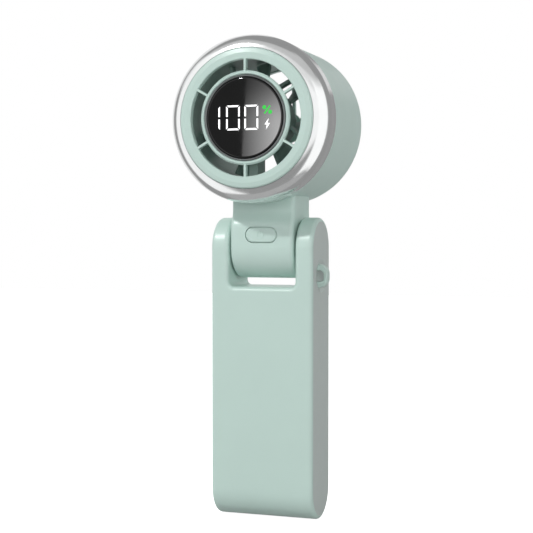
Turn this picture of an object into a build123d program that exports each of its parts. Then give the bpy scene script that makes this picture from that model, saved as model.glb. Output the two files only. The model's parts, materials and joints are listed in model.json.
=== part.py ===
from build123d import *
import os
from math import cos, radians, sin

# Folding hand-held fan, millimetres.
# +X is the holder's left-to-right seen from the display side, -Y is the way the display faces and
# the air leaves, +Z is up. The origin is the charging port at the middle of the handle's foot.

# ---------------------------------------------------------------- driving dimensions
HANDLE_W = 40.0          # handle width along X
HANDLE_T = 22.8          # handle thickness along Y
HANDLE_L = 114.0         # handle length along Z
EDGE_R = 1.4             # rounding of the handle's outer edges
FORK_W = 26.2            # width of the fork's slot
FORK_FLOOR = 88.0        # height of the fork's floor
FORK_LIP_R = 1.7         # rounding of the fork's edges, front and back
FORK_CORNER_R = 2.0      # rounding of the fork's two inner corners
WALL = 1.6               # wall of every moulded cover

BARREL_R = 11.5          # hinge barrel
NECK_W = 24.8            # neck and barrel width along X
NECK_FRONT = -9.3        # front face of the neck above the button
NECK_BACK = 10.3         # back face of the neck above the barrel
NECK_EDGE_R = 1.6
SWELL_Z0 = 111.4         # the neck thins from the barrel's thickness here ...
SWELL_Z1 = 115.4         # ... to its own here

HEAD_Z = 149.65          # height of the fan's axis
SHELL_R = 30.2           # head shell
SHELL_IN_R = 28.4        # bore of the head shell
SHELL_FRONT = -16.4
SHELL_BACK = 22.0
RING_R = 30.6            # chrome ring
FLANGE_R = 25.35         # grille flange
GRILLE_FACE = -29.0      # front face of the grille at its slots
SLOT_OUT_R = 21.05       # outer edge of the air slots
HUB_R = 16.95            # outer edge of the display housing
HUB_IN_R = 15.5
LENS_R = 14.6
LENS_FRONT = -29.5
DISPLAY_R = 13.5         # board and reflector behind the lens
DIGIT_W = 5.25           # outer width of a digit
DIGIT_H = 8.9            # outer height of a digit
BAR_W = 0.62             # width of a digit's bars
BAR_GAP = 0.30           # half the gap between two bars, along X or Z
BAR_SPLIT = 0.42         # half the gap in the middle of an upright
ONE_X = -9.6             # the upright of the one
DIGIT_XS = (-4.3, 2.7)   # middles of the two round digits
SIGN_X = 8.75            # middle of the per cent sign and the bolt
LIGHT_DEPTH = 0.25       # depth of the light guides in the lens
DUCT_IN_R = 22.7
DUCT_OUT_R = 24.0

BUTTON_W = 12.6          # power button, along X
BUTTON_H = 6.1
BUTTON_Z = 107.5
BUTTON_GAP = 0.2

AXLE_R = 3.0
AXLE_BORE_R = 1.5
RUN_GAP = 0.05           # radial clearance of a running fit

CELL_R = 9.05
CELL_X = 9.1
CELL_Y = -0.2
CELL_Z0 = 16.2
CELL_Z1 = 81.2

SHAFT_R = 1.5
IMPELLER_R = 10.65       # hub of the impeller
BELL_R = 9.7             # motor bell, glued into the hub
MAGNET_R = 9.1
BLADES = 7
BLADE_START = 9.3        # how far the first blade is turned from the right-hand side, degrees
BLADE_Y = -4.0           # middle of the blades along the axis
# Sections of a blade: radius, pitch away from the axis in degrees, chord, thickness.
BLADE_SECTIONS = ((9.9, 17.0, 11.3, 1.3), (16.2, 34.0, 10.8, 1.1), (22.6, 51.6, 10.2, 0.9))
STRUTS = 5               # struts that hold the motor
STRUT_START = 38.2
STRUT_SLANT = 24.0       # degrees that a strut leans away from the radius
STRUT_MID_R = 17.0       # radius of a strut's middle
COILS = 9
RIBS = 6
SPOKES = 10
SPOKE_SLANT = -28.6      # degrees that a rear spoke leans away from the radius
SPOKE_START = 26.5

# ---------------------------------------------------------------- derived dimensions
HALF_T = HANDLE_T / 2
HINGE_Z = HANDLE_L - HALF_T
CAVITY_X = HANDLE_W / 2 - WALL
CAVITY_FRONT = -9.6
CAVITY_BACK = 9.2
CAVITY_TOP = 82.5
COVER_IN = 10.0          # inner face of the handle's back cover
COVER_Z0 = 12.6
COVER_Z1 = 84.6
COVER_X = 17.2
NECK_IN_X = NECK_W / 2 - WALL
TRIM_EDGE = EDGE_R + 0.05  # the side trim stops where the handle's rounded edge begins
TRIM_T = 0.8
TRIM_GAP = 0.03
DISH_Z = 92.0            # centre of the lanyard dish
DISH_R = 6.4
DISH_DEPTH = 1.3
LOOP_X = 22.9            # outermost point of the lanyard loop
LOOP_FOOT_X = 16.4
LOOP_W = 4.0             # width of the loop's strap along Y
LOOP_H = 8.6             # height of the loop along Z
LOOP_EYE_H = 4.2         # height of the eye that a strap goes through
NECK_SCREW_X = 7.0
NECK_SCREW_Z = 116.9
REAR_SCREW_Z = HEAD_Z + 26.2  # first of the three screws of the rear grille


# ---------------------------------------------------------------- helpers
def block(x0, x1, y0, y1, z0, z1):
    """Box between two corners."""
    size = Box(x1 - x0, y1 - y0, z1 - z0)
    return Pos((x0 + x1) / 2, (y0 + y1) / 2, (z0 + z1) / 2) * size


def rod_x(radius, x0, x1, y=0.0, z=HINGE_Z):
    """Cylinder along X, on the hinge axis unless told otherwise."""
    return Pos((x0 + x1) / 2, y, z) * Rot(0, 90, 0) * Cylinder(radius, x1 - x0)


def rod_y(radius, y0, y1, x=0.0, z=HEAD_Z):
    """Cylinder along Y, on the fan axis unless told otherwise."""
    return Pos(x, (y0 + y1) / 2, z) * Rot(90, 0, 0) * Cylinder(radius, y1 - y0)


def rod_z(radius, z0, z1, x=0.0, y=0.0):
    """Cylinder along Z."""
    return Pos(x, y, (z0 + z1) / 2) * Cylinder(radius, z1 - z0)


def tube_x(outer, inner, x0, x1):
    return rod_x(outer, x0, x1) - rod_x(inner, x0 - 1, x1 + 1)


def tube_y(outer, inner, y0, y1, x=0.0, z=HEAD_Z):
    return rod_y(outer, y0, y1, x, z) - rod_y(inner, y0 - 1, y1 + 1, x, z)


def turned(outline):
    """Solid of revolution about the fan axis; the outline is drawn in radius and Y."""
    return Pos(0, 0, HEAD_Z) * revolve(make_face(outline), Axis.Y)


def around(piece, count, start=0.0):
    """Copies of a piece, evenly spaced about the fan axis."""
    axis = Axis((0, 0, HEAD_Z), (0, 1, 0))
    return [piece.rotate(axis, start + step * 360 / count) for step in range(count)]


def side_profile(outline, half_width):
    """Extrude a face drawn in Y and Z to both sides of the middle plane."""
    return extrude(Plane.YZ * outline, half_width, both=True)


def front_plate(outline, y0, y1):
    """Extrude a face drawn in X and Z from y1 forward to y0."""
    plane = Plane((0, y1, 0), x_dir=(1, 0, 0), z_dir=(0, -1, 0))
    return extrude(plane * outline, y1 - y0)


def mirrored(piece):
    return mirror(piece, Plane.YZ)


def wire(points, bend, radius):
    """Round lead along straight runs joined by arcs."""
    path = FilletPolyline(*points, radius=bend)
    section = Plane(path @ 0, z_dir=path % 0) * Circle(radius)
    return sweep(section, path)


# ---------------------------------------------------------------- handle
def stadium(inset, z_top):
    """Half-round foot and a flat or round top, drawn in Y and Z."""
    radius = HALF_T - inset
    top = Pos(0, z_top) * Circle(radius) if z_top == HINGE_Z else Sketch()
    return Pos(0, HALF_T) * Circle(radius) + Pos(0, (HALF_T + z_top) / 2) * Rectangle(
        2 * radius, z_top - HALF_T) + top


def handle_solid():
    """Outer form of the handle: a slab with round ends and a fork at the top."""
    slab = side_profile(stadium(0, HINGE_Z), HANDLE_W / 2)
    rims = slab.faces().sort_by(Axis.X)
    slab = fillet(rims[0].edges() + rims[-1].edges(), EDGE_R)
    slot_top = HANDLE_L + 5
    slot = Pos(0, (FORK_FLOOR + slot_top) / 2) * Rectangle(FORK_W, slot_top - FORK_FLOOR)
    slot = fillet(slot.vertices().sort_by(Axis.Y)[:2], FORK_CORNER_R)
    body = slab - front_plate(slot, -HALF_T - 1, HALF_T + 1)
    return round_fork(body)


def round_fork(body):
    """Round the fork's edges on the front and back faces and over the ears."""
    def on_fork(edge):
        centre = edge.center()
        return abs(centre.X) < FORK_W / 2 + 0.01 and centre.Z > FORK_FLOOR - 0.01
    rims = [edge for edge in body.edges() if on_fork(edge) and abs(edge.center().Y) > HALF_T - 3.5]
    tops = [edge for edge in body.edges() if on_fork(edge) and edge.center().Z > HANDLE_L - 3.5]
    return fillet(rims + [edge for edge in tops if edge not in rims], FORK_LIP_R)


def lanyard_dish(skin=0.0):
    """Ball that cuts the shallow dish under the lanyard loop; a skin makes it larger all over."""
    ball_r = (DISH_R ** 2 + DISH_DEPTH ** 2) / (2 * DISH_DEPTH)
    return Pos(HANDLE_W / 2 - DISH_DEPTH + ball_r, 0, DISH_Z) * Sphere(ball_r + skin)


def side_seat(gap):
    """Space of the flush trim plate on the handle's right side."""
    plate = side_profile(stadium(TRIM_EDGE + gap, HINGE_Z), HANDLE_W / 2)
    return plate & block(HANDLE_W / 2 - TRIM_T, HANDLE_W / 2, -20, 20, 0, HANDLE_L)


def side_trim(side, gap=0.0):
    """Flush trim plate; the right one is drawn into the lanyard dish."""
    if side < 0:
        return mirrored(side_seat(gap))
    cup = lanyard_dish(TRIM_T) & block(0, HANDLE_W / 2, -20, 20, 60, HANDLE_L)
    return side_seat(gap) + cup


def handle_body():
    """Tray with the front, the sides and both ears; open at the back."""
    body = handle_solid()
    cavity = side_profile(stadium(WALL, CAVITY_TOP), CAVITY_X)
    cavity &= block(-20, 20, CAVITY_FRONT, CAVITY_BACK, 0, CAVITY_TOP)
    pocket = block(-COVER_X - 0.1, COVER_X + 0.1, COVER_IN, 20, COVER_Z0 - 0.1, COVER_Z1 + 0.1)
    pocket = fillet(pocket.edges().filter_by(Axis.Y), 3.1)
    window = block(-16, 16, 8, 20, 14, 82)
    port = extrude(SlotOverall(9.4, 3.6), 4)
    body = body - cavity - pocket - window - port
    for side in (-1, 1):
        body -= axle_end(side)
        body -= side_trim(side)
    return body - lanyard_loop() - wire(loom_route()[1:], 2.5, 1.3)


def handle_back_cover():
    """Flush panel over the cells, held by six snap hooks."""
    plate = block(-COVER_X, COVER_X, COVER_IN, HALF_T, COVER_Z0, COVER_Z1)
    plate = fillet(plate.edges().filter_by(Axis.Y), 3.0)
    for z in (26.0, 48.0, 70.0):
        hook = block(15.0, 15.85, 8.4, COVER_IN + 0.2, z - 2, z + 2)
        hook += block(15.0, 16.7, 8.4, 9.1, z - 2, z + 2)
        plate = plate + hook + mirrored(hook)
    return plate


def lanyard_loop():
    """Arched bridge that a wrist strap goes through, with two feet set in the handle."""
    outer = block(LOOP_FOOT_X, LOOP_X, -LOOP_W / 2, LOOP_W / 2, DISH_Z - LOOP_H / 2, DISH_Z + LOOP_H / 2)
    outer = fillet(outer.faces().sort_by(Axis.X)[-1].edges().filter_by(Axis.Y), 3.3)
    eye_h = LOOP_EYE_H / 2
    eye = block(LOOP_FOOT_X - 1, LOOP_X - 1.5, -5, 5, DISH_Z - eye_h, DISH_Z + eye_h)
    eye = fillet(eye.faces().sort_by(Axis.X)[-1].edges().filter_by(Axis.Y), 1.4)
    loop = outer - eye
    rims = [edge for edge in loop.edges() if abs(abs(edge.center().Y) - LOOP_W / 2) < 0.01]
    return fillet([edge for edge in rims if edge.center().X > LOOP_FOOT_X + 0.1], 0.5)


def battery_cell(side):
    """One cylindrical cell with its crimp and its raised positive end."""
    cell = rod_z(CELL_R, CELL_Z0, CELL_Z1 - 0.6, side * CELL_X, CELL_Y)
    cell = fillet(cell.edges(), 0.6)
    crimp = rod_z(CELL_R + 1, CELL_Z1 - 4.4, CELL_Z1 - 3.4, side * CELL_X, CELL_Y)
    crimp -= rod_z(CELL_R - 0.5, CELL_Z1 - 5, CELL_Z1 - 3, side * CELL_X, CELL_Y)
    return cell - crimp + rod_z(3.2, CELL_Z1 - 2, CELL_Z1, side * CELL_X, CELL_Y)


def cell_strip(z0):
    """Nickel strip that joins the two cells at one end."""
    strip = block(-13, 13, CELL_Y - 3, CELL_Y + 3, z0, z0 + 0.3)
    return fillet(strip.edges().filter_by(Axis.Z), 1.0)


def foam_pad():
    return block(-14, 14, 9.0, 9.9, 30, 66)


def charge_board():
    """Board at the foot with the charging circuit."""
    board = block(-13, 13, 1.7, 2.7, 3.8, 15.2)
    chips = [(-9, 7.5, 3.2, 3.2, 1.0), (9, 8.0, 4.0, 4.0, 2.4), (-3.5, 11.5, 2.0, 1.2, 0.8),
             (2.5, 11.5, 2.0, 1.2, 0.8)]
    for x, z, width, height, depth in chips:
        board += block(x - width / 2, x + width / 2, 2.6, 2.7 + depth, z - height / 2, z + height / 2)
    return board


def usb_c_shell():
    """Steel shell of the charging socket."""
    shell = extrude(SlotOverall(8.94, 3.2), 7.3) - extrude(SlotOverall(8.34, 2.6), 6.5)
    return Pos(0, 0, 0.4) * shell


def usb_c_tongue():
    """Contact tongue in the middle of the socket."""
    return block(-3.35, 3.35, -0.35, 0.35, 1.6, 6.9) + block(-3.6, 3.6, -1.0, 1.0, 5.4, 6.9)


# ---------------------------------------------------------------- hinge
def axle_end(side):
    """D-shaped end of a hinge axle, keyed into its ear."""
    end = rod_x(AXLE_R, FORK_W / 2 - 0.1, 15.2) - block(12, 16, -4, 4, HINGE_Z + 2.2, HINGE_Z + 4)
    return end if side > 0 else mirrored(end)


def hinge_axle(side):
    """Hollow axle fixed in its ear; the barrel turns on it."""
    axle = rod_x(AXLE_R, 7.4, FORK_W / 2 - 0.1)
    axle -= tube_x(AXLE_R + 1, AXLE_R - 0.5, 8.2, 9.0)
    axle = axle + axle_end(1) - rod_x(AXLE_BORE_R, 7, 16)
    return axle if side > 0 else mirrored(axle)


def axle_clip(side):
    """Open retaining ring in the axle's groove."""
    clip = tube_x(4.6, AXLE_R - 0.5, 8.25, 8.95) - block(8, 9.2, -0.9, 0.9, HINGE_Z - 6, HINGE_Z)
    return clip if side > 0 else mirrored(clip)


def friction_washer(side):
    """Dished spring washer that makes the hinge stiff enough to stay where it is put."""
    washer = tube_x(5.0, AXLE_R, 9.05, 9.45)
    washer += tube_x(5.0, 4.2, 9.3, 9.85)
    return washer if side > 0 else mirrored(washer)


def barrel_bush(side):
    """Flanged plastic bush pressed into the barrel's end wall."""
    bush = rod_x(4.2, 10.7, NECK_W / 2) + rod_x(5.2, 9.9, NECK_IN_X)
    bush -= rod_x(AXLE_R + RUN_GAP, 9, 14)
    return bush if side > 0 else mirrored(bush)


def loom_route():
    """Route of the battery leads, from the charging board through the right axle."""
    return [(12.0, 1.2, 13.8), (16.6, -7.6, 13.8), (16.6, -7.6, HINGE_Z), (16.6, 0, HINGE_Z),
            (5.6, 0, HINGE_Z)]


def battery_loom():
    return wire(loom_route(), 2.5, 1.0)


# ---------------------------------------------------------------- neck and head shell
def neck_outline(inset):
    """Side view of neck and barrel, drawn in Y and Z."""
    radius = BARREL_R - inset
    front = NECK_FRONT + inset
    back = NECK_BACK - inset
    top = HEAD_Z - 26.0
    bend = 6.0
    swell = FilletPolyline((-radius, HINGE_Z), (-radius, SWELL_Z0), (front, SWELL_Z1), (front, top),
                           radius=bend)
    rear = FilletPolyline((back, top), (back, SWELL_Z1), (radius, SWELL_Z0), (radius, HINGE_Z),
                          radius=bend)
    foot = ThreePointArc((radius, HINGE_Z), (0, HINGE_Z - radius), (-radius, HINGE_Z))
    return make_face(swell + Line((front, top), (back, top)) + rear + foot)


def neck_outer():
    """Neck with its rounded long edges."""
    neck = side_profile(neck_outline(0), NECK_W / 2)
    sides = neck.faces().sort_by(Axis.X)
    rims = [edge for edge in sides[0].edges() + sides[-1].edges() if edge.center().Z < HEAD_Z - 27]
    return fillet(rims, NECK_EDGE_R)


def neck_inner():
    return side_profile(neck_outline(WALL), NECK_IN_X)


def shell_tube():
    """Round part of the head shell, with a spigot for the chrome ring and a rolled rear rim."""
    rim = 2.4
    corner = rim * (1 - cos(radians(45)))
    outline = (Polyline((SHELL_IN_R, SHELL_BACK), (SHELL_IN_R, -19.4), (29.3, -19.4), (29.3, SHELL_FRONT),
                        (SHELL_R, SHELL_FRONT), (SHELL_R, SHELL_BACK - rim))
               + ThreePointArc((SHELL_R, SHELL_BACK - rim), (SHELL_R - corner, SHELL_BACK - corner),
                               (SHELL_R - rim + 0.6, SHELL_BACK))
               + Line((SHELL_R - rim + 0.6, SHELL_BACK), (SHELL_IN_R, SHELL_BACK)))
    return turned(outline)


def button_outline(grow):
    return Pos(0, BUTTON_Z) * SlotOverall(BUTTON_W + 2 * grow, BUTTON_H + 2 * grow)


def cover_zone(gap):
    """Space of the neck's back cover."""
    zone = block(-9.2 + gap, 9.2 - gap, 6, 13, 103.0 + gap, 118.6 - gap)
    return fillet(zone.edges().filter_by(Axis.Y), 1.5 - gap)


def head_shell():
    """Neck, barrel and head housing, moulded in one."""
    bore = rod_y(SHELL_IN_R, -25, 25)
    neck = neck_outer() - bore
    shell = neck + shell_tube()
    shell -= neck_inner() & block(-20, 20, -20, 20, 80, HEAD_Z)
    shell -= front_plate(button_outline(0), -14, -8)
    shell -= cover_zone(0)
    shell -= rod_x(4.2, -14, 14)
    for x in (-7.6, 7.6):
        for z in (99.6, 112.6):
            shell += rod_y(1.1, -10.2 if z < 105 else -9.2, -6.6, x, z)
    for x in (-NECK_SCREW_X, NECK_SCREW_X):
        post = rod_y(1.5, -8.4, NECK_BACK - 1.75, x, NECK_SCREW_Z) - rod_y(0.6, 4, 11, x, NECK_SCREW_Z)
        shell += post
    return shell


def neck_back_cover():
    """Panel that closes the neck from behind."""
    skin = neck_outer() - neck_inner()
    panel = skin & cover_zone(0.1)
    for x in (-NECK_SCREW_X, NECK_SCREW_X):
        panel -= rod_y(0.85, 7, 12, x, NECK_SCREW_Z)
        panel -= rod_y(1.55, NECK_BACK - 0.75, 12, x, NECK_SCREW_Z)
    return panel


def neck_screws():
    """Two small screws through the neck's back cover."""
    screws = []
    for x in (-NECK_SCREW_X, NECK_SCREW_X):
        head = rod_y(1.45, NECK_BACK - 0.75, NECK_BACK - 0.05, x, NECK_SCREW_Z)
        drive = Pos(x, NECK_BACK, NECK_SCREW_Z) * (Box(1.6, 0.7, 0.35) + Box(0.35, 0.7, 1.6))
        screws.append(head + rod_y(0.6, 5.0, NECK_BACK - 0.7, x, NECK_SCREW_Z) - drive)
    return screws


def control_board():
    """Board behind the power button."""
    board = block(-9.4, 9.4, -6.6, -5.6, 98.0, 114.4)
    for x, z, width, height, depth in [(-4, 101.5, 5, 5, 1.0), (5.6, 111.2, 4, 4, 2.2),
                                       (-5.5, 110.5, 3, 1.6, 0.9), (7.6, 104.2, 1.2, 2.2, 0.7)]:
        board += block(x - width / 2, x + width / 2, -5.7, -5.6 + depth, z - height / 2, z + height / 2)
    return board


def tact_switch():
    """Push switch under the power button."""
    case = block(-3.0, 3.0, -7.5, -6.6, BUTTON_Z - 1.9, BUTTON_Z + 1.9)
    return fillet(case.edges().filter_by(Axis.Y), 0.4) + rod_y(1.1, -7.8, -7.4, 0, BUTTON_Z)


def power_button():
    """Pill-shaped key with a bevelled edge, an engraved power mark and a stem."""
    cap = front_plate(button_outline(-BUTTON_GAP), -BARREL_R - 0.15, -9.5)
    front = cap.faces().sort_by(Axis.Y)[0]
    cap = chamfer(front.edges(), 0.4)
    flange = front_plate(button_outline(0.6), -9.6, -9.1)
    key = cap + flange + rod_y(1.4, -9.2, -8.35, 0, BUTTON_Z)
    mark = Circle(1.45) - Circle(1.15) - Pos(0, 1.3) * Rectangle(1.0, 1.4)
    mark += Pos(0, 1.0) * Rectangle(0.3, 1.3)
    return key - front_plate(Pos(0, BUTTON_Z) * mark, -BARREL_R - 0.3, -BARREL_R)


def hinge_lead():
    """Short lead from the hinge to the control board."""
    return wire([(3.6, 0, HINGE_Z), (3.6, 0, 107.0), (3.6, -5.6, 107.0)], 1.6, 0.9)


def motor_lead():
    """Lead from the motor through the lowest vane and down into the neck."""
    return wire([(0, -15.5, HEAD_Z - 8), (0, -15.5, HEAD_Z - 26.2), (0, -2.0, HEAD_Z - 26.2),
                 (0, -2.0, 112.4), (0, -5.6, 112.4)], 1.6, 0.8)


def display_lead():
    """Lead from the display board to the motor's mount."""
    return wire([(0, -25.0, HEAD_Z - 6), (0, -19.0, HEAD_Z - 6), (0, -19.0, HEAD_Z - 11)], 1.6, 0.6)


# ---------------------------------------------------------------- front of the head
def chrome_ring():
    """Convex bright ring round the grille."""
    back = SHELL_FRONT - 0.15
    outer = ThreePointArc((25.5, -27.9), (29.1, -25.9), (RING_R, -21.5))
    inner = ThreePointArc((29.1, -21.0), (28.0, -24.0), (25.5, -25.6))
    outline = (outer + Polyline((RING_R, -21.5), (RING_R, back - 0.3), (RING_R - 0.3, back), (29.4, back),
                                (29.4, -19.6), (29.1, -19.6), (29.1, -21.0))
               + inner + Line((25.5, -25.6), (25.5, -27.9)))
    return turned(outline)


def front_grille():
    """Flange, six ribs and the display housing, moulded in one."""
    face = GRILLE_FACE
    flange = turned(Polyline((SLOT_OUT_R, face + 2.2), (SLOT_OUT_R, face + 0.25), (SLOT_OUT_R + 0.25, face),
                             (23.4, face + 0.05), (24.9, face + 0.45), (FLANGE_R, face + 0.95),
                             (FLANGE_R, -18.0), (DUCT_OUT_R + 0.1, -18.0), (DUCT_OUT_R + 0.1, face + 3.6),
                             close=True))
    cup = turned(Polyline((0, -24.4), (DISPLAY_R + 0.3, -24.4), (DISPLAY_R + 0.3, -27.85),
                          (HUB_IN_R, -27.85), (HUB_IN_R, -28.85), (HUB_IN_R + 0.35, -29.3),
                          (HUB_R - 0.6, -29.3), (HUB_R, -28.7), (HUB_R, -27.7), (HUB_R - 2.1, -26.0),
                          (HUB_R - 2.1, -23.8), (HUB_R - 2.7, -23.2), (0, -23.2), close=True))
    rib = block(-0.4, 0.4, face, -27.0, HEAD_Z + HUB_R - 0.5, HEAD_Z + SLOT_OUT_R + 0.6)
    grille = flange + cup
    for copy in around(rib, RIBS):
        grille += copy
    return grille - rod_y(1.2, -26, -22, 0, HEAD_Z - 6)


def display_bezel():
    """Thin bright ring between the display housing and the lens."""
    return turned(Polyline((LENS_R + 0.05, -27.9), (LENS_R + 0.05, -29.2), (LENS_R + 0.3, -29.45),
                           (HUB_IN_R - 0.3, -29.45), (HUB_IN_R - 0.05, -29.2), (HUB_IN_R - 0.05, -27.9),
                           close=True))


def upright_bar(x, side, end):
    """Upright bar at x, with its long edge on the side given and its tip at the end given."""
    outer = x + side * BAR_W / 2
    inner = x - side * BAR_W / 2
    tip = DIGIT_H / 2 - BAR_GAP
    bar = Polyline((outer, end * BAR_SPLIT), (outer, end * tip), (inner, end * (tip - BAR_W)),
                   (inner, end * BAR_SPLIT), close=True)
    return Pos(0, HEAD_Z) * make_face(bar)


def cross_bar(x, end):
    """Level bar with mitred ends, at the top or bottom of a digit."""
    half = DIGIT_W / 2 - BAR_GAP
    outer = end * DIGIT_H / 2
    inner = end * (DIGIT_H / 2 - BAR_W)
    bar = Polyline((x - half, outer), (x + half, outer), (x + half - BAR_W, inner),
                   (x - half + BAR_W, inner), close=True)
    return Pos(0, HEAD_Z) * make_face(bar)


def digit_segments():
    """Bars of the three digits, drawn in X and Z."""
    bars = [upright_bar(ONE_X, 1, end) for end in (-1, 1)]
    for x in DIGIT_XS:
        bars += [cross_bar(x, end) for end in (-1, 1)]
        for side in (-1, 1):
            edge = x + side * (DIGIT_W - BAR_W) / 2
            bars += [upright_bar(edge, side, end) for end in (-1, 1)]
    return bars


def percent_marks():
    """Per cent sign, drawn in X and Z."""
    middle = Pos(SIGN_X, HEAD_Z + 2.6)
    slash = middle * Rot(0, 0, 52) * Rectangle(3.5, 0.62)
    return [slash] + [middle * Pos(side * 1.1, -side * 0.85) * Circle(0.74) for side in (-1, 1)]


def bolt_mark():
    """Lightning bolt, drawn in X and Z."""
    shape = make_face(Polyline((0.5, 1.95), (-1.0, -0.2), (-0.12, -0.2), (-0.5, -2.0), (1.0, 0.25),
                               (0.12, 0.25), close=True))
    return Pos(SIGN_X, HEAD_Z - 2.45) * shape


def light_guides(outlines):
    """Clear bars that carry the light to the face of the lens."""
    return [front_plate(outline, LENS_FRONT, LENS_FRONT + LIGHT_DEPTH) for outline in outlines]


def display_lens():
    """Round smoked window with rounded rim."""
    lens = rod_y(LENS_R, LENS_FRONT, -27.9)
    rim = lens.faces().sort_by(Axis.Y)[0].edges()
    lens = fillet(rim, 0.7)
    for bar in light_guides(digit_segments() + percent_marks() + [bolt_mark()]):
        lens -= bar
    return lens


def display_reflector():
    """Black block that separates the digits' lights."""
    plate = rod_y(DISPLAY_R, -27.8, -26.3)
    for x in (ONE_X, *DIGIT_XS, SIGN_X):
        plate -= block(x - 1.4, x + 1.4, -28, -27.0, HEAD_Z - 3.4, HEAD_Z + 3.4)
    return plate


def display_board():
    board = rod_y(DISPLAY_R, -26.2, -25.2)
    for x, z in ((-6, 5), (5, 4), (4, -6)):
        board += block(x - 2, x + 2, -25.3, -24.6, HEAD_Z + z - 1.5, HEAD_Z + z + 1.5)
    return board


# ---------------------------------------------------------------- air path
def air_duct():
    """Duct, struts and motor mount, moulded in one."""
    tube = tube_y(DUCT_OUT_R, DUCT_IN_R, -22.0, 18.6)
    flange = tube_y(28.2, DUCT_OUT_R - 0.2, 16.6, 18.6)
    hub = turned(Polyline((0, -11.2), (11.6, -11.2), (11.6, -19.6), (10.6, -20.6), (10.6, -21.4),
                          (13.0, -19.8), (13.0, -10.0), (4.6, -10.0), (4.6, -1.8), (3.5, -1.8),
                          (3.5, -10.2), (0, -10.2), close=True))
    middle = Axis((0, 0, HEAD_Z + STRUT_MID_R), (0, 1, 0))
    strut = block(-0.55, 0.55, -15.5, -11.5, HEAD_Z + 11.2, HEAD_Z + 23.6).rotate(middle, STRUT_SLANT)
    duct = tube + flange + hub
    for copy in around(strut, STRUTS, STRUT_START):
        duct += copy
    duct += block(-1.7, 1.7, -19.5, -11.5, HEAD_Z - 23.2, HEAD_Z - 12.5)
    duct -= Pos(0, -15.5, HEAD_Z - 19) * Cylinder(1.1, 20)
    for copy in around(rod_y(1.0, 10, 25, 0, REAR_SCREW_Z), 3):
        duct -= copy
    return duct


def bearing(y0):
    """Small ball bearing, drawn as its closed ring."""
    ring = tube_y(3.5, SHAFT_R + 0.03, y0, y0 + 3.0)
    groove = tube_y(3.0, 2.1, y0 - 1, y0 + 0.25) + tube_y(3.0, 2.1, y0 + 2.75, y0 + 4)
    return ring - groove


def stator_core():
    """Laminated core with one tooth for each coil."""
    core = tube_y(5.6, 4.6, -7.4, -2.9)
    tooth = block(-0.75, 0.75, -7.4, -2.9, HEAD_Z + 5.2, HEAD_Z + 7.4)
    shoe = tube_y(7.75, 7.1, -7.4, -2.9) & block(-2.1, 2.1, -8, -1, HEAD_Z + 6.5, HEAD_Z + 8.5)
    for copy in around(tooth + shoe, COILS):
        core += copy
    return core


def windings():
    """Copper coils, one round each tooth."""
    coil = block(-1.2, 1.2, -8.0, -2.3, HEAD_Z + 5.75, HEAD_Z + 6.95)
    coil = fillet(coil.edges().filter_by(Axis.Z), 0.5)
    coil -= block(-0.76, 0.76, -7.41, -2.89, HEAD_Z + 5, HEAD_Z + 8)
    return around(coil, COILS)


def motor_board():
    """Ring board behind the coils."""
    return tube_y(8.6, 4.7, -9.6, -8.8)


def magnet_ring():
    return tube_y(MAGNET_R, MAGNET_R - 1.0, -8.2, -2.4)


def motor_bell():
    """Steel cup that carries the magnets."""
    cup = tube_y(BELL_R, MAGNET_R, -8.6, -1.4) + tube_y(BELL_R, SHAFT_R, -1.4, -0.6)
    return cup + tube_y(3.2, SHAFT_R, -0.7, 1.4)


def motor_shaft():
    shaft = rod_y(SHAFT_R, -10.0, 2.4)
    return shaft - tube_y(SHAFT_R + 1, SHAFT_R - 0.3, -9.9, -9.6)


def shaft_clip():
    """Retaining ring on the shaft's front end."""
    return tube_y(2.4, SHAFT_R - 0.3, -9.88, -9.62) - block(-0.6, 0.6, -10.2, -9.3, HEAD_Z - 4, HEAD_Z)


def blade():
    """One twisted blade, thin at the tip."""
    sections = []
    for radius, pitch, chord, thick in BLADE_SECTIONS:
        along = Vector(0, cos(radians(pitch)), sin(radians(pitch)))
        plane = Plane((radius, BLADE_Y, HEAD_Z), x_dir=along, z_dir=(1, 0, 0))
        sections.append(plane * RectangleRounded(chord, thick, thick * 0.45))
    return loft(sections) & tube_y(22.25, IMPELLER_R - 0.4, -8.9, 6.0)


def impeller():
    """Hub with a nose towards the intake, and its blades."""
    radius = IMPELLER_R
    inner = BELL_R + 0.05
    nose = Spline((radius, -2.2), (9.7, 1.0), (6.5, 4.6), (0, 6.8), tangents=((0, 1), (-1, 0)))
    hub = turned(Polyline((0, 6.8), (0, 3.0), (3.4, 3.0), (3.4, -0.5), (inner, -0.5), (inner, -9.0),
                          (radius, -9.0), (radius, -2.2)) + nose)
    for copy in around(blade(), BLADES, BLADE_START):
        hub += copy
    return hub


def rear_grille():
    """Intake guard: slanting spokes between a rim and a middle disc."""
    guard = tube_y(28.3, 22.4, 18.8, 21.4)
    hub = rod_y(6.2, 19.2, 21.4)
    guard += fillet(hub.faces().sort_by(Axis.Y)[-1].edges(), 0.6)
    root = Axis((0, 0, HEAD_Z + 6.5), (0, 1, 0))
    spoke = block(-0.5, 0.5, 19.4, 21.2, HEAD_Z + 5.0, HEAD_Z + 24).rotate(root, SPOKE_SLANT)
    spoke &= rod_y(23.5, 18, 23)
    for copy in around(spoke, SPOKES, SPOKE_START):
        guard += copy
    for copy in around(rod_y(1.1, 15, 25, 0, REAR_SCREW_Z), 3):
        guard -= copy
    for copy in around(rod_y(1.9, 20.4, 25, 0, REAR_SCREW_Z), 3):
        guard -= copy
    return guard


def rear_screws():
    """Three screws that hold the rear grille to the duct."""
    head = rod_y(1.8, 20.4, 21.3, 0, REAR_SCREW_Z)
    drive = Pos(0, 21.3, REAR_SCREW_Z) * (Box(2.0, 0.9, 0.45) + Box(0.45, 0.9, 2.0))
    screw = head + rod_y(1.0, 13.6, 20.5, 0, REAR_SCREW_Z) - drive
    return around(screw, 3)


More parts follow.
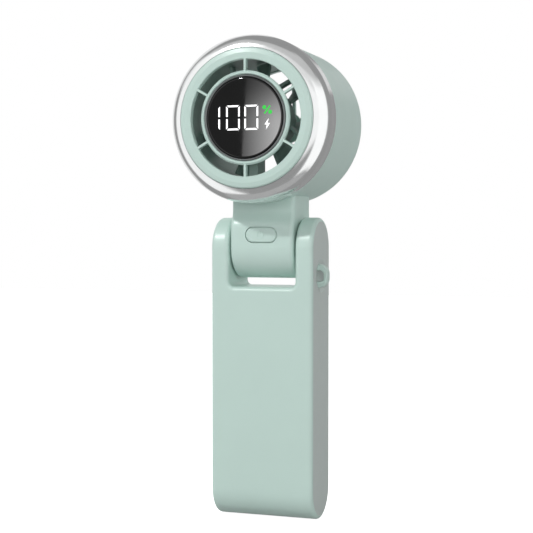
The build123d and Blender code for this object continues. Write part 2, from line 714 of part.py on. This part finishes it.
# ---------------------------------------------------------------- output
def nodes():
    """Every node's name with its solid or its group of solids."""
    parts = {
        "handle_body": handle_body(),
        "handle_back_cover": handle_back_cover(),
        "side_trim_left": side_trim(-1, TRIM_GAP),
        "side_trim_right": side_trim(1, TRIM_GAP) - lanyard_dish() - lanyard_loop(),
        "lanyard_loop": lanyard_loop(),
        "battery_cell_left": battery_cell(-1),
        "battery_cell_right": battery_cell(1),
        "cell_strip_lower": cell_strip(CELL_Z0 - 0.3),
        "cell_strip_upper": cell_strip(CELL_Z1),
        "foam_pad": foam_pad(),
        "charge_board": charge_board(),
        "usb_c_shell": usb_c_shell(),
        "usb_c_tongue": usb_c_tongue(),
        "battery_loom": battery_loom(),
        "head_shell": head_shell(),
        "neck_back_cover": neck_back_cover(),
        "neck_screws": neck_screws(),
        "control_board": control_board(),
        "tact_switch": tact_switch(),
        "power_button": power_button(),
        "hinge_lead": hinge_lead(),
        "motor_lead": motor_lead(),
        "display_lead": display_lead(),
        "chrome_ring": chrome_ring(),
        "front_grille": front_grille(),
        "display_bezel": display_bezel(),
        "display_lens": display_lens(),
        "display_digits": light_guides(digit_segments()),
        "display_percent": light_guides(percent_marks()),
        "display_bolt": light_guides([bolt_mark()]),
        "display_reflector": display_reflector(),
        "display_board": display_board(),
        "air_duct": air_duct(),
        "bearing_front": bearing(-9.5),
        "bearing_rear": bearing(-5.0),
        "stator_core": stator_core(),
        "windings": windings(),
        "motor_board": motor_board(),
        "magnet_ring": magnet_ring(),
        "motor_bell": motor_bell(),
        "motor_shaft": motor_shaft(),
        "shaft_clip": shaft_clip(),
        "impeller": impeller(),
        "rear_grille": rear_grille(),
        "rear_screws": rear_screws(),
    }
    for name, side in (("left", -1), ("right", 1)):
        parts["hinge_axle_" + name] = hinge_axle(side)
        parts["axle_clip_" + name] = axle_clip(side)
        parts["friction_washer_" + name] = friction_washer(side)
        parts["barrel_bush_" + name] = barrel_bush(side)
    return parts


def main():
    os.makedirs("parts", exist_ok=True)
    for name, piece in nodes().items():
        solids = []
        for item in (piece if isinstance(piece, list) else [piece]):
            solids += item.solids()
        shape = solids[0] if len(solids) == 1 else Compound(children=solids)
        export_step(shape, "parts/" + name + ".step")
        print(name, len(solids), round(sum(solid.volume for solid in solids), 1))


main()
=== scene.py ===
import json
from math import cos, radians, sin

import bpy
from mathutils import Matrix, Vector


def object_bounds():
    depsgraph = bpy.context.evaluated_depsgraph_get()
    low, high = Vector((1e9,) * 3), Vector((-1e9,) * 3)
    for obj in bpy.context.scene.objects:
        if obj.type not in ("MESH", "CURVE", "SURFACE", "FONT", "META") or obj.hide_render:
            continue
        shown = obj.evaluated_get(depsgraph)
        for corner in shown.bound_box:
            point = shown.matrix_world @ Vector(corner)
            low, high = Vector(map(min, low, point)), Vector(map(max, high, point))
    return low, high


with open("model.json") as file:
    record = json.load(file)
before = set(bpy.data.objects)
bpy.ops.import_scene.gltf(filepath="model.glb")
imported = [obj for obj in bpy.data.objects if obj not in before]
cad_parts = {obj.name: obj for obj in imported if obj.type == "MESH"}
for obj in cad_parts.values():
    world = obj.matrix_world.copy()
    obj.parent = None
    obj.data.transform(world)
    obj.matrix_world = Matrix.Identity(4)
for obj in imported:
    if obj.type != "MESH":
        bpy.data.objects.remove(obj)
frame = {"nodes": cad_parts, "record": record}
cad_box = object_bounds()
NODES = frame["nodes"]

# ---------------------------------------------------------------- colours, linear
MINT = (0.545, 0.700, 0.645)
# Darker copy of the mint with painted shade: the duct parts inside the grille are the same mint,
# darkened here for the shadow they sit in.
MINT_PAINTED_SHADE = (0.30, 0.40, 0.365)
SIDE_GREY = (0.50, 0.56, 0.54)
CHROME = (0.82, 0.83, 0.83)

# ---------------------------------------------------------------- light
KEY_DIRECTION = (0.393, 0.666, -0.633)
RIM_DIRECTION = (-0.07, -0.944, -0.315)
KEY_STRENGTH = 1.2
KEY_ANGLE = 3.0          # apparent size of the key light, degrees
RIM_STRENGTH = 0.02      # the rim light only makes highlights
RIM_ANGLE = 14.0
FLOOR_HALF = 1.5         # half the floor's side, metres
FLOOR_DROP = 0.0002      # gap between the floor and the foot
FLOOR_DARK = (0.48, 0.48, 0.48)
FLOOR_PALE = (0.50, 0.50, 0.50)
FLOOR_LIFT = 0.95        # light added to the floor where the camera sees it
BACKDROP = 1.0           # what the camera sees behind the fan
# Soft lobes of the studio that light the surfaces:
# direction, cosine at the edge, cosine where full, strength.
LOBES = (
    ((-1, 0, 0), 0.0, 1.0, 0.74),
    ((0, 1, 0), 0.0, 1.0, 1.93),
    ((0.6, -0.8, 0), 0.80, 0.95, 2.83),
    ((0, -0.85, 0.5), 0.80, 0.95, 0.38),
)
# Soft boxes that the polished parts reflect:
# azimuth from and to, elevation from and to, in degrees, strength.
GLOSS_BASE = 0.33        # strength between the soft boxes
PANELS = (
    (33, 108, -50, 36, 1.17),
    (-80, -29, -52, 44, 1.08),
    (-168, -108, -27, 48, 0.90),
    (-95, 105, 18, 42, 0.84),
    (-45, -10, 22, 48, 1.0),
    (0, 48, -15, 26, 1.09),
    (-80, 90, 16, 72, 0.60),
    (-180, 107, -105, -49, 0.45),
)
PANEL_SOFT = 7           # half the width of a soft box's soft edge, degrees

# ---------------------------------------------------------------- card that the display mirrors
CARD_STRENGTH = 10.5     # its brightest part
CARD_Y = -0.4545
CARD_LOW, CARD_HIGH = 0.150, 0.226
CARD_RIGHT = -0.116
CARD_LEFT = -0.1562      # left edge at the height CARD_LEFT_Z
CARD_LEFT_Z = 0.1889
CARD_LEAN = 0.06         # how far the left edge leans right for each unit up
CARD_POWER = 1.15        # bends the ramp across the card
# Ramps over the card: axis, start, end, level at the start, level at the end, kind.
CARD_RAMPS = (
    ("X", -0.156, -0.132, 0.30, 1.0, "LINEAR"),
    ("Z", 0.181, 0.216, 1.0, 0.26, "SMOOTHSTEP"),
)

# ---------------------------------------------------------------- camera
CAMERA_AZIMUTH = 19.165  # degrees, from the display side towards +X
CAMERA_PITCH = 1.824     # degrees down
CAMERA_DISTANCE = 0.48063
CAMERA_HEIGHT = 0.095366  # height of the point that it looks at
CAMERA_ASIDE = 0.001682  # how far left of the fan's axis that point is
CAMERA_LENS = 85.04
CAMERA_SENSOR = 36.0
CAMERA_CLIP = 0.01

NOISE_LOW, NOISE_HIGH = 0.3, 0.7   # span of a noise value that carries the change


# ---------------------------------------------------------------- node helpers
class Shader:
    """A small wrapper that makes one node material."""

    def __init__(self, name):
        self.material = bpy.data.materials.new(name)
        self.material.use_nodes = True
        self.tree = self.material.node_tree
        self.tree.nodes.clear()
        self.out = self.tree.nodes.new("ShaderNodeOutputMaterial")
        self.bsdf = self.tree.nodes.new("ShaderNodeBsdfPrincipled")
        self.link(self.bsdf.outputs["BSDF"], self.out.inputs["Surface"])
        self.coords = self.tree.nodes.new("ShaderNodeTexCoord").outputs["Object"]

    def link(self, source, target):
        self.tree.links.new(source, target)

    def set(self, **values):
        for name, value in values.items():
            self.bsdf.inputs[name.replace("_", " ")].default_value = value
        return self

    def node(self, kind, **settings):
        made = self.tree.nodes.new(kind)
        for name, value in settings.items():
            if name in made.inputs:
                made.inputs[name].default_value = value
            else:
                setattr(made, name, value)
        return made

    def noise(self, size, detail=3.0, stretch=(1, 1, 1)):
        """Noise whose features are about size metres across."""
        mapping = self.node("ShaderNodeMapping")
        mapping.inputs["Scale"].default_value = tuple(axis / size for axis in stretch)
        self.link(self.coords, mapping.inputs["Vector"])
        texture = self.node("ShaderNodeTexNoise", Scale=1.0, Detail=detail, Roughness=0.55)
        self.link(mapping.outputs["Vector"], texture.inputs["Vector"])
        return texture.outputs["Fac"]

    def remap(self, value, low, high):
        """Turn a noise value into low to high."""
        mapped = self.node("ShaderNodeMapRange")
        mapped.inputs["From Min"].default_value = NOISE_LOW
        mapped.inputs["From Max"].default_value = NOISE_HIGH
        mapped.inputs["To Min"].default_value = low
        mapped.inputs["To Max"].default_value = high
        self.link(value, mapped.inputs["Value"])
        return mapped.outputs["Result"]

    def colour(self, value, dark, light):
        """Base colour that goes from dark to light with a noise value."""
        ramp = self.node("ShaderNodeValToRGB")
        ramp.color_ramp.elements[0].position = NOISE_LOW
        ramp.color_ramp.elements[1].position = NOISE_HIGH
        ramp.color_ramp.elements[0].color = (*dark, 1)
        ramp.color_ramp.elements[1].color = (*light, 1)
        self.link(value, ramp.inputs["Fac"])
        self.link(ramp.outputs["Color"], self.bsdf.inputs["Base Color"])
        return self

    def rough(self, value, low, high):
        self.link(self.remap(value, low, high), self.bsdf.inputs["Roughness"])
        return self

    def bump(self, value, height):
        """Bump of about height metres."""
        made = self.node("ShaderNodeBump", Strength=1.0, Distance=height)
        self.link(value, made.inputs["Height"])
        self.link(made.outputs["Normal"], self.bsdf.inputs["Normal"])
        return self


def shade(colour, factor):
    return tuple(min(1.0, channel * factor) for channel in colour)


def moulded(name, colour, rough=0.31, grain=0.00035, height=0.000004, spread=0.012):
    """Satin moulded plastic: a fine spark-eroded grain, and broad faint changes of colour and gloss."""
    made = Shader(name)
    made.set(IOR=1.5)
    broad = made.noise(0.02, 2.0)
    made.colour(broad, shade(colour, 1 - spread), shade(colour, 1 + spread))
    made.rough(made.noise(0.004, 3.0), rough - 0.035, rough + 0.035)
    made.bump(made.noise(grain, 2.0), height)
    return made.material


def metal(name, colour, rough=0.25, grain=0.0002, height=0.000002, stretch=(1, 1, 1), wear=0.05):
    """Bare or plated metal with faint tarnish, uneven polish and a fine grain."""
    made = Shader(name)
    made.set(Metallic=1.0)
    broad = made.noise(0.006, 3.0, stretch)
    made.colour(broad, shade(colour, 1 - wear), shade(colour, 1 + wear))
    made.rough(made.noise(0.002, 2.0, stretch), rough - 0.03, rough + 0.03)
    made.bump(made.noise(grain, 2.0, stretch), height)
    return made.material


def lit(name, colour, strength):
    """Light guide with its light on. It glows evenly and mirrors nothing."""
    made = Shader(name)
    made.set(Emission_Color=(*colour, 1), Emission_Strength=strength, Specular_IOR_Level=0.0)
    made.colour(made.noise(0.001), shade(colour, 0.5), shade(colour, 0.55))
    made.rough(made.noise(0.002), 0.12, 0.2)
    return made.material


def window(name):
    """Black gloss window with a very faint orange-peel in its polish."""
    made = Shader(name)
    made.set(IOR=1.5)
    made.colour(made.noise(0.01), (0.0010, 0.0011, 0.0012), (0.0018, 0.0019, 0.0020))
    made.rough(made.noise(0.004), 0.02, 0.045)
    made.bump(made.noise(0.003, 1.0), 0.0000001)
    return made.material


def board(name):
    """Green lacquered board with faint copper tracks under the lacquer."""
    made = Shader(name)
    made.set(IOR=1.5, Coat_Weight=0.4, Coat_Roughness=0.2)
    made.colour(made.noise(0.0012, 1.0), (0.012, 0.075, 0.03), (0.03, 0.16, 0.07))
    made.rough(made.noise(0.001), 0.3, 0.45)
    made.bump(made.noise(0.0009, 1.0), 0.00002)
    return made.material


# ---------------------------------------------------------------- materials
def paint(materials):
    """Give every CAD node the material of its record slot."""
    slots = {part["node"]: part["material_slot"] for part in frame["record"]["subparts"]}
    for name, obj in NODES.items():
        obj.data.materials.clear()
        obj.data.materials.append(materials[slots[name]])


def make_materials():
    """One material for each of the record's slots."""
    return {
        "mint_plastic": moulded("mint_plastic", MINT),
        "mint_button": moulded("mint_button", shade(MINT, 0.98), rough=0.36),
        # Painted shade: the duct is the mint plastic darkened for its shadow inside the grille.
        "mint_duct": moulded("mint_duct", MINT_PAINTED_SHADE, rough=0.45),
        "side_grey": moulded("side_grey", SIDE_GREY, rough=0.38),
        "chrome": metal("chrome", CHROME, rough=0.15, wear=0.015),
        "bezel_metal": metal("bezel_metal", (0.17, 0.18, 0.18), rough=0.32),
        "lens": window("lens"),
        "light_white": lit("light_white", (1.0, 1.0, 1.0), 1.15),
        "light_green": lit("light_green", (0.047, 0.485, 0.070), 1.0),
        "black_plastic": moulded("black_plastic", (0.03, 0.03, 0.03), rough=0.5),
        "board": board("board"),
        "steel": metal("steel", (0.56, 0.56, 0.55), rough=0.28),
        "electrical_steel": metal("electrical_steel", (0.30, 0.31, 0.32), rough=0.4,
                                  stretch=(1, 12, 1)),
        "copper": metal("copper", (0.72, 0.30, 0.13), rough=0.3, stretch=(1, 6, 6)),
        "magnet": metal("magnet", (0.12, 0.12, 0.13), rough=0.42),
        "nickel": metal("nickel", (0.62, 0.60, 0.56), rough=0.3),
        "cell_wrap": moulded("cell_wrap", (0.08, 0.22, 0.48), rough=0.3),
        "foam": moulded("foam", (0.05, 0.05, 0.05), rough=0.85, grain=0.0004, height=0.0001),
        "lead": moulded("lead", (0.45, 0.03, 0.02), rough=0.45),
        "bush_plastic": moulded("bush_plastic", (0.78, 0.77, 0.72), rough=0.45),
    }


# ---------------------------------------------------------------- studio
def quad(name, corners):
    """A flat four-cornered object that belongs to the studio."""
    mesh = bpy.data.meshes.new(name)
    mesh.from_pydata(corners, [], [(0, 1, 2, 3)])
    made = bpy.data.objects.new(name, mesh)
    bpy.context.scene.collection.objects.link(made)
    return made


def card_material():
    """Glow that is the product of the card's ramps."""
    material = bpy.data.materials.new("lens_card")
    material.use_nodes = True
    tree = material.node_tree
    tree.nodes.clear()

    def math(operation, first, second):
        made = tree.nodes.new("ShaderNodeMath")
        made.operation = operation
        for socket, value in zip(made.inputs, (first, second)):
            if isinstance(value, float):
                socket.default_value = value
            else:
                tree.links.new(value, socket)
        return made.outputs["Value"]

    split = tree.nodes.new("ShaderNodeSeparateXYZ")
    tree.links.new(tree.nodes.new("ShaderNodeTexCoord").outputs["Object"], split.inputs["Vector"])
    ramps = []
    for axis, start, end, first, last, kind in CARD_RAMPS:
        ramp = tree.nodes.new("ShaderNodeMapRange")
        ramp.interpolation_type = kind
        limits = (("From Min", start), ("From Max", end), ("To Min", first), ("To Max", last))
        for name, number in limits:
            ramp.inputs[name].default_value = number
        tree.links.new(split.outputs[axis], ramp.inputs["Value"])
        ramps.append(ramp.outputs["Result"])
    both = math("MULTIPLY", math("POWER", ramps[0], CARD_POWER), ramps[1])
    glow = tree.nodes.new("ShaderNodeEmission")
    tree.links.new(math("MULTIPLY", both, CARD_STRENGTH), glow.inputs["Strength"])
    out = tree.nodes.new("ShaderNodeOutputMaterial")
    tree.links.new(glow.outputs["Emission"], out.inputs["Surface"])
    return material


def lens_card():
    """Card that the display's window mirrors: a sharp left edge, brighter to the right and below."""
    left = [CARD_LEFT + CARD_LEAN * (z - CARD_LEFT_Z) for z in (CARD_LOW, CARD_HIGH)]
    card = quad("lens_card", [(left[0], CARD_Y, CARD_LOW), (CARD_RIGHT, CARD_Y, CARD_LOW),
                              (CARD_RIGHT, CARD_Y, CARD_HIGH), (left[1], CARD_Y, CARD_HIGH)])
    card.data.materials.append(card_material())
    for ray in ("visible_camera", "visible_diffuse", "visible_shadow", "visible_transmission"):
        setattr(card, ray, False)


def sun(name, direction, strength, angle):
    """Distant light that shines along direction."""
    data = bpy.data.lights.new(name, "SUN")
    data.energy = strength
    data.angle = radians(angle)
    lamp = bpy.data.objects.new(name, data)
    lamp.rotation_euler = Vector(direction).to_track_quat("-Z", "Y").to_euler()
    bpy.context.scene.collection.objects.link(lamp)
    return lamp


class Sky:
    """The world's node tree, with the arithmetic that its lights need."""

    def __init__(self):
        self.world = bpy.data.worlds.new("studio")
        self.world.use_nodes = True
        self.tree = self.world.node_tree
        self.tree.nodes.clear()
        self.direction = self.tree.nodes.new("ShaderNodeTexCoord").outputs["Generated"]
        split = self.tree.nodes.new("ShaderNodeSeparateXYZ")
        self.tree.links.new(self.direction, split.inputs["Vector"])
        forward = self.math("MULTIPLY", split.outputs["Y"], -1)
        self.azimuth = self.math("ARCTAN2", split.outputs["X"], forward)
        self.elevation = self.math("ARCSINE", split.outputs["Z"], 0)

    def math(self, operation, first, second):
        made = self.tree.nodes.new("ShaderNodeMath")
        made.operation = operation
        for socket, value in zip(made.inputs, (first, second)):
            if isinstance(value, (int, float)):
                socket.default_value = value
            else:
                self.tree.links.new(value, socket)
        return made.outputs["Value"]

    def step(self, value, start, end, height=1.0):
        """Smooth rise from 0 at start to height at end."""
        made = self.tree.nodes.new("ShaderNodeMapRange")
        made.interpolation_type = "SMOOTHSTEP"
        flip = start > end
        for name, number in (("From Min", min(start, end)), ("From Max", max(start, end)),
                             ("To Min", height if flip else 0), ("To Max", 0 if flip else height)):
            made.inputs[name].default_value = number
        self.tree.links.new(value, made.inputs["Value"])
        return made.outputs["Result"]

    def lobe(self, axis, edge, full, strength):
        """Round patch of light around axis."""
        dot = self.tree.nodes.new("ShaderNodeVectorMath")
        dot.operation = "DOT_PRODUCT"
        dot.inputs[1].default_value = Vector(axis).normalized()
        self.tree.links.new(self.direction, dot.inputs[0])
        return self.step(dot.outputs["Value"], edge, full, strength)

    def panel(self, left, right, low, high, strength):
        """Soft-edged box of light between two azimuths and two elevations."""
        shape = strength
        for angle, start, end in ((self.azimuth, left, right), (self.elevation, low, high)):
            rise = self.step(angle, radians(start - PANEL_SOFT), radians(start + PANEL_SOFT))
            fall = self.step(angle, radians(end + PANEL_SOFT), radians(end - PANEL_SOFT))
            shape = self.math("MULTIPLY", self.math("MULTIPLY", rise, fall), shape)
        return shape

    def background(self, strength):
        made = self.tree.nodes.new("ShaderNodeBackground")
        made.inputs["Color"].default_value = (1, 1, 1, 1)
        if isinstance(strength, (int, float)):
            made.inputs["Strength"].default_value = strength
        else:
            self.tree.links.new(strength, made.inputs["Strength"])
        return made.outputs["Background"]

    def mix(self, factor, first, second):
        made = self.tree.nodes.new("ShaderNodeMixShader")
        for socket, value in zip(made.inputs, (factor, first, second)):
            self.tree.links.new(value, socket)
        return made.outputs["Shader"]


def make_world():
    """White to the camera, soft boxes to reflections, and soft lobes to everything else."""
    sky = Sky()
    light = 0.0
    for row in LOBES:
        light = sky.math("ADD", sky.lobe(*row), light)
    gloss = GLOSS_BASE
    for row in PANELS:
        gloss = sky.math("MAXIMUM", sky.panel(*row), gloss)
    path = sky.tree.nodes.new("ShaderNodeLightPath").outputs
    lit_by = sky.mix(path["Is Glossy Ray"], sky.background(light), sky.background(gloss))
    seen = sky.mix(path["Is Camera Ray"], lit_by, sky.background(BACKDROP))
    out = sky.tree.nodes.new("ShaderNodeOutputWorld")
    sky.tree.links.new(seen, out.inputs["Surface"])
    bpy.context.scene.world = sky.world


def make_floor():
    """Pale floor under the fan. To the camera it is lifted to the white of the backdrop."""
    half = FLOOR_HALF
    floor = quad("floor", [(-half, -half, 0), (half, -half, 0), (half, half, 0), (-half, half, 0)])
    floor.location.z = cad_box[0][2] - FLOOR_DROP
    made = Shader("floor")
    made.set(Roughness=0.9, Specular_IOR_Level=0.0)
    made.colour(made.noise(0.3), FLOOR_DARK, FLOOR_PALE)
    glow = made.node("ShaderNodeEmission")
    path = made.node("ShaderNodeLightPath")
    shown = made.node("ShaderNodeMath", operation="MULTIPLY")
    shown.inputs[1].default_value = FLOOR_LIFT
    made.link(path.outputs["Is Camera Ray"], shown.inputs[0])
    made.link(shown.outputs["Value"], glow.inputs["Strength"])
    both = made.node("ShaderNodeAddShader")
    made.link(made.bsdf.outputs["BSDF"], both.inputs[0])
    made.link(glow.outputs["Emission"], both.inputs[1])
    made.link(both.outputs["Shader"], made.out.inputs["Surface"])
    floor.data.materials.append(made.material)
    floor.visible_glossy = False


def make_camera():
    """Camera right of the display side, a little above the middle of the fan."""
    azimuth, pitch = radians(CAMERA_AZIMUTH), radians(CAMERA_PITCH)
    right = Vector((cos(azimuth), sin(azimuth), 0))
    target = Vector((0, 0, CAMERA_HEIGHT)) - CAMERA_ASIDE * right
    forward = Vector((-sin(azimuth) * cos(pitch), cos(azimuth) * cos(pitch), -sin(pitch)))
    data = bpy.data.cameras.new("camera")
    data.lens = CAMERA_LENS
    data.sensor_width = CAMERA_SENSOR
    data.clip_start = CAMERA_CLIP
    camera = bpy.data.objects.new("camera", data)
    camera.location = target - CAMERA_DISTANCE * forward
    camera.rotation_euler = forward.to_track_quat("-Z", "Y").to_euler()
    bpy.context.scene.collection.objects.link(camera)
    bpy.context.scene.camera = camera


def make_lights():
    """A key light from the front, above and left, and a faint one from behind for highlights."""
    sun("key", KEY_DIRECTION, KEY_STRENGTH, KEY_ANGLE)
    rim = sun("rim", RIM_DIRECTION, RIM_STRENGTH, RIM_ANGLE)
    rim.visible_diffuse = False


make_camera()
make_world()
make_floor()
make_lights()
lens_card()
paint(make_materials())
bpy.context.scene.view_settings.view_transform = "Standard"
